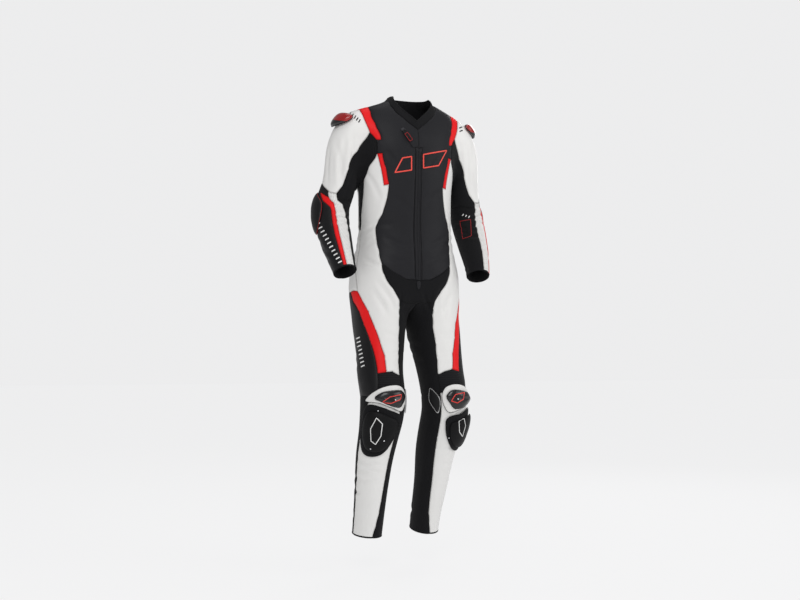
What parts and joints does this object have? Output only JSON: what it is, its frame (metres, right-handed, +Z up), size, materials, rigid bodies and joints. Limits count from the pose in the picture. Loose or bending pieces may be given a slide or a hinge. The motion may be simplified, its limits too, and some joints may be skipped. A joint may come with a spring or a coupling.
{
  "type": "one-piece leather motorcycle race suit",
  "caption": "One-piece leather race suit in worn shape, with armoured shoulders, elbows and knees, knee sliders, a front zip and stretch panels.",
  "frame": {"origin": "between the shoulders inside the neck opening, 1.5 m above the floor the suit would stand over, where the wearer's shoulders carry it", "axes": "+Z up, -Y out of the chest, +X towards the wearer's left"},
  "size_m": [0.628, 0.301, 1.4532],
  "materials": {
    "black_leather": "fine grained cowhide, half matt, charcoal black",
    "white_leather": "fine grained cowhide, half matt, white",
    "red_leather": "smooth cowhide, half matt, bright red",
    "stretch_cloth": "ribbed woven stretch cloth, matt black",
    "collar_cloth": "soft brushed knit, matt black",
    "zip_tape": "woven tape with a coil, dull black",
    "zip_metal": "black lacquered casting",
    "pull_tab": "black leather tab with a dull red edge",
    "hard_shell": "glossy black moulded shell",
    "slider_rubber": "matt black moulded sliding rubber"
  },
  "bodies": {
    "suit": {"back_upper": "black_leather", "back_waist": "stretch_cloth", "calf_left": "stretch_cloth", "calf_right": "stretch_cloth", "chest_stripe_left": "red_leather", "chest_stripe_right": "red_leather", "collar": "collar_cloth", "crotch_front": "stretch_cloth", "elbow_guard_left": "slider_rubber", "elbow_guard_right": "slider_rubber", "forearm_inner_left": "stretch_cloth", "forearm_inner_right": "stretch_cloth", "forearm_outer_left": "black_leather", "forearm_outer_right": "black_leather", "forearm_red_left": "red_leather", "forearm_red_right": "red_leather", "forearm_stripe_left": "white_leather", "forearm_stripe_right": "white_leather", "front_left": "black_leather", "front_right": "black_leather", "front_tip": "black_leather", "inner_knee_patch_left": "black_leather", "inner_knee_patch_right": "black_leather", "inner_leg_left": "stretch_cloth", "inner_leg_right": "stretch_cloth", "knee_band_left": "stretch_cloth", "knee_band_right": "stretch_cloth", "knee_padding_left": "white_leather", "knee_padding_right": "white_leather", "knee_plate_left": "hard_shell", "knee_plate_right": "hard_shell", "knee_slider_left": "slider_rubber", "knee_slider_right": "slider_rubber", "seat": "black_leather", "shin_left": "white_leather", "shin_right": "white_leather", "shoulder_cup_left": "hard_shell", "shoulder_cup_right": "hard_shell", "shoulder_stripe_left": "red_leather", "shoulder_stripe_right": "red_leather", "side_back_left": "white_leather", "side_back_right": "white_leather", "side_left": "white_leather", "side_right": "white_leather", "side_strip_left": "stretch_cloth", "side_strip_right": "stretch_cloth", "sleeve_inner_left": "stretch_cloth", "sleeve_inner_right": "stretch_cloth", "sleeve_outer_left": "white_leather", "sleeve_outer_right": "white_leather", "slider_base_left": "stretch_cloth", "slider_base_right": "stretch_cloth", "thigh_outer_left": "black_leather", "thigh_outer_right": "black_leather", "thigh_stripe_left": "red_leather", "thigh_stripe_right": "red_leather", "zip": "zip_tape", "zip_garage": "black_leather", "zip_slider": "zip_metal"},
    "pull": {"zip_pull": "pull_tab"}
  },
  "joints": [
    {"name": "pull_tab_hinge", "type": "hinge", "parent": "suit", "child": "pull", "pos_m": [-0.05066, -0.11032, -0.05809], "axis": [-0.8399, -0.0128, -0.5425], "range_deg": [0, 120]}
  ]
}
